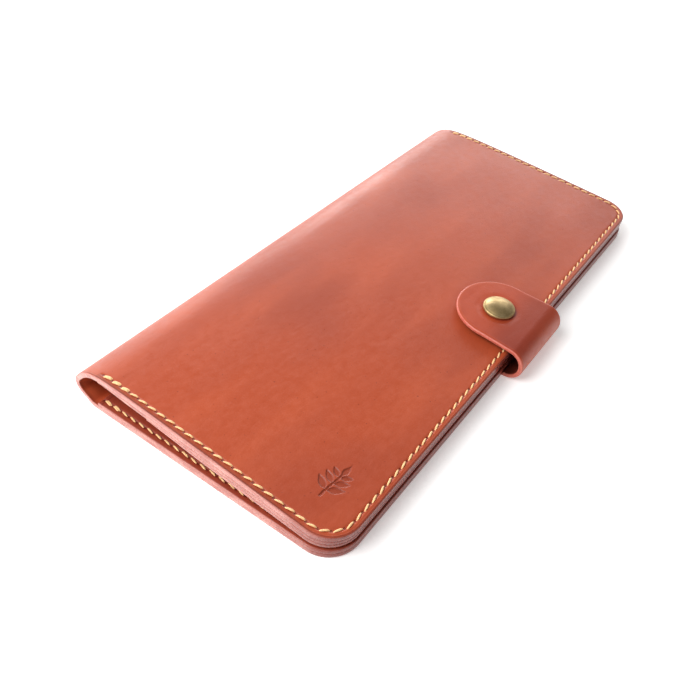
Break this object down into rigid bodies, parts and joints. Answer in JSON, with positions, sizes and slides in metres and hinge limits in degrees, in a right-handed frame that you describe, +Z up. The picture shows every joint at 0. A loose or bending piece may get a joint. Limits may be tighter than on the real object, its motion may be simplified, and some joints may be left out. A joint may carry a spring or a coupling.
{
  "type": "long wallet",
  "caption": "Long folding leather wallet with inner pockets, a saddle-stitched edge and a wrap-round strap that closes with a snap.",
  "frame": {"origin": "bottom centre of the closed wallet's box, strap included", "axes": "+X from the spine to the free edge and the strap, +Y along the spine, +Z up out of the front leaf"},
  "size_m": [0.1024, 0.2, 0.0158],
  "materials": {
    "cover_leather": "smooth vegetable-tanned leather, cognac, burnished edges",
    "inner_leather": "smooth vegetable-tanned leather panels, reddish brown",
    "strap_leather": "smooth vegetable-tanned leather with rounded burnished edges",
    "thread": "waxed cream-yellow thread",
    "brass": "aged satin brass"
  },
  "bodies": {
    "back_leaf": {"cover_back_leaf": "cover_leather", "back_bill_pocket": "inner_leather", "back_seam_thread": "thread", "strap_root": "strap_leather", "strap_root_thread": "thread"},
    "spine": {"cover_spine": "cover_leather"},
    "front_leaf": {"cover_front_leaf": "cover_leather", "front_bill_pocket": "inner_leather", "front_card_pocket": "inner_leather", "front_seam_thread": "thread", "card_divider_thread": "thread", "snap_stud": "brass", "snap_stud_base": "brass"},
    "strap_bend": {"strap_bend": "strap_leather"},
    "strap_tongue": {"strap_tongue": "strap_leather", "snap_cap": "brass", "snap_socket": "brass"}
  },
  "joints": [
    {"name": "spine_fold", "type": "hinge", "parent": "back_leaf", "child": "spine", "pos_m": [-0.04972, 0, 0.00067], "axis": [0, -1, 0], "range_deg": [0, 92.39]},
    {"name": "front_leaf_fold", "type": "hinge", "parent": "spine", "child": "front_leaf", "pos_m": [-0.04584, 0, 0.0121], "axis": [0, -1, 0], "range_deg": [0, 92.39]},
    {"name": "strap_fold", "type": "hinge", "parent": "back_leaf", "child": "strap_bend", "pos_m": [0.04899, 0.0038, 0.00159], "axis": [0, 1, 0], "range_deg": [0, 87.61]},
    {"name": "strap_tongue_fold", "type": "hinge", "parent": "strap_bend", "child": "strap_tongue", "pos_m": [0.04934, 0.0038, 0.00964], "axis": [0, 1, 0], "range_deg": [0, 87.61]}
  ],
  "couplings": [
    {"joint": "front_leaf_fold", "follows": "spine_fold", "ratio": 1},
    {"joint": "strap_tongue_fold", "follows": "strap_fold", "ratio": 1}
  ]
}
